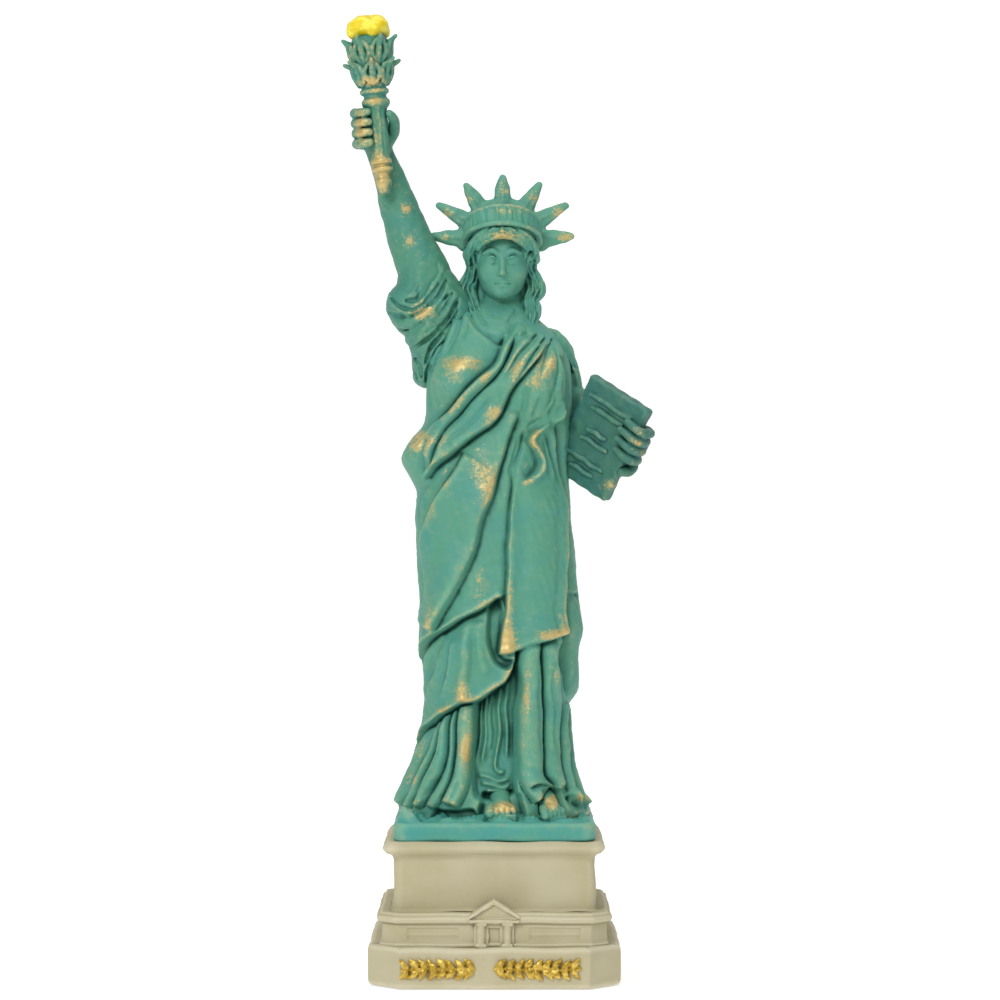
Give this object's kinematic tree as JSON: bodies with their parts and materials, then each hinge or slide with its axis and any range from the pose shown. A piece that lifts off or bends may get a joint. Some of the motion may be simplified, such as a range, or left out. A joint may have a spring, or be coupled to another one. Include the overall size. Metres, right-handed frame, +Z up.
{
  "type": "souvenir statue",
  "caption": "Small painted statue of a robed figure holding up a torch and carrying a tablet, on a stepped stone-coloured pedestal with a small portico.",
  "frame": {"origin": "centre of the underside of the felt pad", "axes": "+Z up, the figure faces -Y, +X is the viewer's right, the side of the tablet"},
  "size_m": [0.0489, 0.0399, 0.1524],
  "materials": {
    "verdigris": "matt blue-green paint on cast resin, dark wash in the folds and dry-brushed gold on the high edges",
    "stone_paint": "matt cream paint on cast resin, brown wash in the corners",
    "gilt": "hand-brushed gold paint, satin",
    "flame_paint": "bright yellow-gold paint, satin",
    "felt": "thin dark felt",
    "steel": "plain drawn wire"
  },
  "bodies": {
    "root": {"felt_pad": "felt", "base_slab": "stone_paint", "ornament_left": "gilt", "ornament_right": "gilt", "terrace_wall": "stone_paint", "portico": "stone_paint", "pedestal_block": "stone_paint", "pedestal_cornice": "stone_paint", "plinth_slab": "verdigris", "locating_pin_left": "steel", "locating_pin_right": "steel", "torch_handle": "verdigris", "torch_cup": "verdigris", "torch_flame": "flame_paint", "robe_skirt": "verdigris", "robe_bodice": "verdigris", "mantle_sash": "verdigris", "mantle_drape": "verdigris", "mantle_panel": "verdigris", "mantle_tail": "verdigris", "right_sleeve": "verdigris", "right_arm": "verdigris", "right_hand": "verdigris", "arm_rod": "steel", "head": "verdigris", "neck_pin": "steel", "hair": "verdigris", "diadem": "verdigris", "crown_rays": "verdigris", "tablet": "verdigris", "left_arm": "verdigris", "left_hand": "verdigris", "right_foot": "verdigris", "left_foot": "verdigris"}
  },
  "joints": []
}
